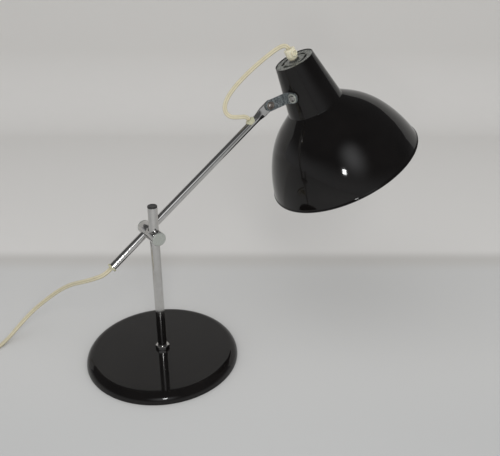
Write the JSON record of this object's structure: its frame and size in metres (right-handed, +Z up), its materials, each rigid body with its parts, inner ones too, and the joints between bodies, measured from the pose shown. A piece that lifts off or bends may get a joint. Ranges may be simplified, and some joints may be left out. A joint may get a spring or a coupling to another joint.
{
  "type": "desk lamp",
  "caption": "Desk lamp: round weighted base, upright post, friction clamp with a sliding tilting arm, strap hinge and flared metal shade on a tapered neck, with flex, in-line switch and plug.",
  "frame": {"origin": "centre of the base's underside, on the table", "axes": "+Z up along the post; +X along the arm's horizontal direction, from the post towards the shade; -Y is the front end of the clamp"},
  "size_m": [0.7337, 0.2945, 0.3853],
  "materials": {
    "black_enamel": "gloss stove enamel",
    "cast_iron": "raw casting",
    "felt": "felt",
    "zinc_steel": "zinc plated",
    "chrome": "polished chrome plate",
    "dark_plastic": "moulded",
    "nylon": "natural nylon",
    "pale_bush": "translucent polyethylene",
    "brass": "turned brass",
    "grey_cap": "speckled grey",
    "cream_plastic": "moulded",
    "rocker_plastic": "moulded",
    "bakelite": "thermoset",
    "porcelain": "glazed",
    "bulb_glass": "frosted glass",
    "flex": "soft cream sheath"
  },
  "bodies": {
    "base": {"base_cover": "black_enamel", "base_weight": "cast_iron", "base_felt": "felt", "lock_washer": "zinc_steel", "lock_nut": "zinc_steel", "foot_nut": "chrome", "post": "chrome", "post_cap": "dark_plastic", "mains_cord": "flex", "switch_base": "cream_plastic", "switch_cover": "cream_plastic", "switch_screws": "zinc_steel", "switch_lead": "flex", "cord_coil": "flex", "plug_lead": "flex", "plug_body": "cream_plastic", "plug_pins": "brass"},
    "clamp_slider": {"post_liner": "nylon"},
    "clamp_front": {"front_block": "chrome", "front_pad": "brass", "front_spring": "zinc_steel", "front_cap": "chrome", "pivot_rivet": "zinc_steel", "thrust_washer": "zinc_steel"},
    "clamp_rear": {"rear_block": "chrome", "rear_pad": "brass", "rear_spring": "zinc_steel", "rear_cap": "chrome"},
    "arm_carrier": {"arm_liner": "nylon"},
    "arm": {"arm_tube": "chrome", "arm_bush": "pale_bush", "arm_grommet": "pale_bush", "arm_lead": "flex"},
    "link": {"link_strap": "zinc_steel", "hinge_washer": "nylon", "hinge_eyelet": "zinc_steel"},
    "shade": {"shade_shell": "black_enamel", "tilt_screw": "zinc_steel", "tilt_washer": "zinc_steel", "tilt_spacer": "nylon", "tilt_inner_washer": "zinc_steel", "tilt_nut": "zinc_steel", "neck_cap": "grey_cap", "holder_nipple": "brass", "cap_nut": "zinc_steel", "cord_grip": "cream_plastic", "grip_screw": "zinc_steel", "holder_cap": "bakelite", "holder_insert": "porcelain", "holder_shell": "bakelite", "centre_contact": "brass", "bulb_cap": "brass", "bulb_glass": "bulb_glass", "holder_lead": "flex", "loop_lead": "flex"},
    "rocker": {"switch_rocker": "rocker_plastic"}
  },
  "joints": [
    {"name": "clamp_height", "type": "slide", "parent": "base", "child": "clamp_slider", "axis": [0, 0, 1], "range_m": [-0.09, 0.025], "deforming": ["mains_cord"]},
    {"name": "clamp_swivel", "type": "hinge", "parent": "clamp_slider", "child": "clamp_front", "pos_m": [0, 0, 0.1795], "axis": [0, 0, 1], "range_deg": [-100, 100], "deforming": ["mains_cord"]},
    {"name": "arm_tilt", "type": "hinge", "parent": "clamp_front", "child": "clamp_rear", "pos_m": [0, 0, 0.1795], "axis": [0, 1, 0], "range_deg": [-40, 40], "deforming": ["mains_cord"]},
    {"name": "arm_roll", "type": "hinge", "parent": "clamp_rear", "child": "arm_carrier", "pos_m": [0, 0.017, 0.1795], "axis": [0.8095, 0, 0.5871], "range_deg": [-40, 40], "deforming": ["mains_cord"]},
    {"name": "arm_slide", "type": "slide", "parent": "arm_carrier", "child": "arm", "axis": [-0.8095, 0, -0.5871], "range_m": [-0.04, 0.09], "deforming": ["mains_cord"]},
    {"name": "link_hinge", "type": "hinge", "parent": "arm", "child": "link", "pos_m": [0.18093, 0.017, 0.31071], "axis": [-0.0661, -0.9937, 0.0911], "range_deg": [-40, 40], "deforming": ["loop_lead"]},
    {"name": "shade_tilt", "type": "hinge", "parent": "link", "child": "shade", "pos_m": [0.20749, 0.00351, 0.31872], "axis": [-0.921, -0.3398, -0.1906], "range_deg": [-40, 40], "deforming": ["loop_lead"]},
    {"name": "switch_rock", "type": "hinge", "parent": "base", "child": "rocker", "pos_m": [-0.2546, 0.1572, 0.0132], "axis": [0.5477, 0.8367, 0], "range_deg": [0, 16]}
  ]
}
